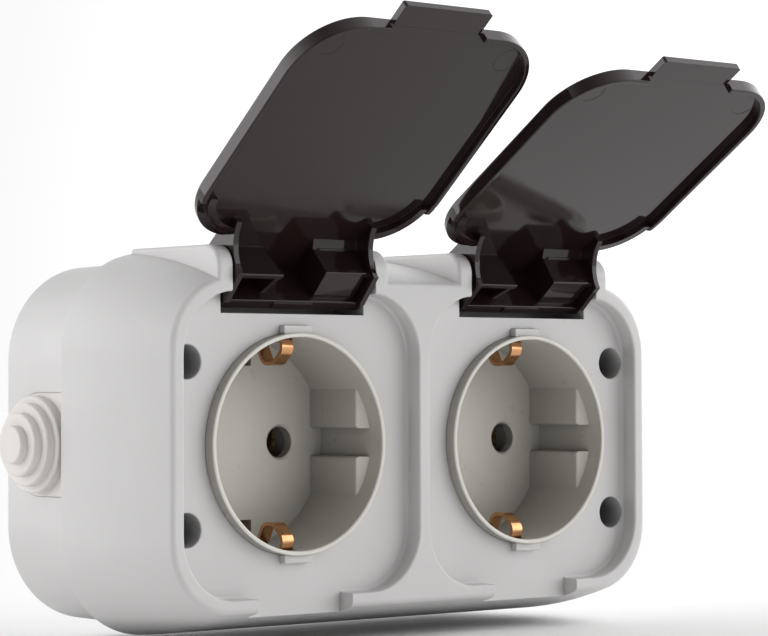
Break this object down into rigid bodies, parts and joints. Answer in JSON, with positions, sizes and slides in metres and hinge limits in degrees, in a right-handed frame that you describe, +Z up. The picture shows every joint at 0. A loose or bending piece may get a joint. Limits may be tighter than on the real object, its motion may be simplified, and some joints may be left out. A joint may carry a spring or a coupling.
{
  "type": "outdoor weatherproof socket",
  "caption": "Wall-mounted outdoor double socket outlet: tapered grey-white housing, round earthed plug wells and smoked flip-up lids on hinges, with a stepped cable grommet.",
  "frame": {"origin": "middle of the back face, in the wall plane, level with the socket centres", "axes": "+X to the right seen from the front, +Y into the wall, +Z up; the front faces -Y"},
  "size_m": [0.1336, 0.0921, 0.1114],
  "materials": {
    "housing": "satin",
    "insert": "satin",
    "smoked_lid": "gloss",
    "grommet": "matte",
    "gasket": "matte",
    "copper": "satin",
    "brass": "satin",
    "steel": "satin",
    "carrier": "matte"
  },
  "bodies": {
    "housing": {"rear_base": "housing", "front_cover": "housing", "cover_gasket": "gasket", "cable_grommet": "grommet", "socket_insert_left": "insert", "socket_insert_right": "insert", "earth_clip_left": "copper", "earth_clip_right": "copper", "earth_link": "copper", "earth_rivets": "copper", "contact_carrier_left": "carrier", "contact_carrier_right": "carrier", "line_busbar": "brass", "neutral_busbar": "brass", "jaw_springs": "steel", "terminal_clamps": "steel", "terminal_nuts": "brass", "terminal_screws": "steel", "cover_screws": "steel", "insert_screws": "steel"},
    "lid_left": {"lid_left": "smoked_lid"},
    "lid_right": {"lid_right": "smoked_lid"}
  },
  "joints": [
    {"name": "lid_left_hinge", "type": "hinge", "parent": "housing", "child": "lid_left", "pos_m": [-0.029, -0.04278, 0.03123], "axis": [-1, 0, 0], "range_deg": [-131.2, 28.8]},
    {"name": "lid_right_hinge", "type": "hinge", "parent": "housing", "child": "lid_right", "pos_m": [0.029, -0.04278, 0.03123], "axis": [-1, 0, 0], "range_deg": [-124, 36]}
  ]
}
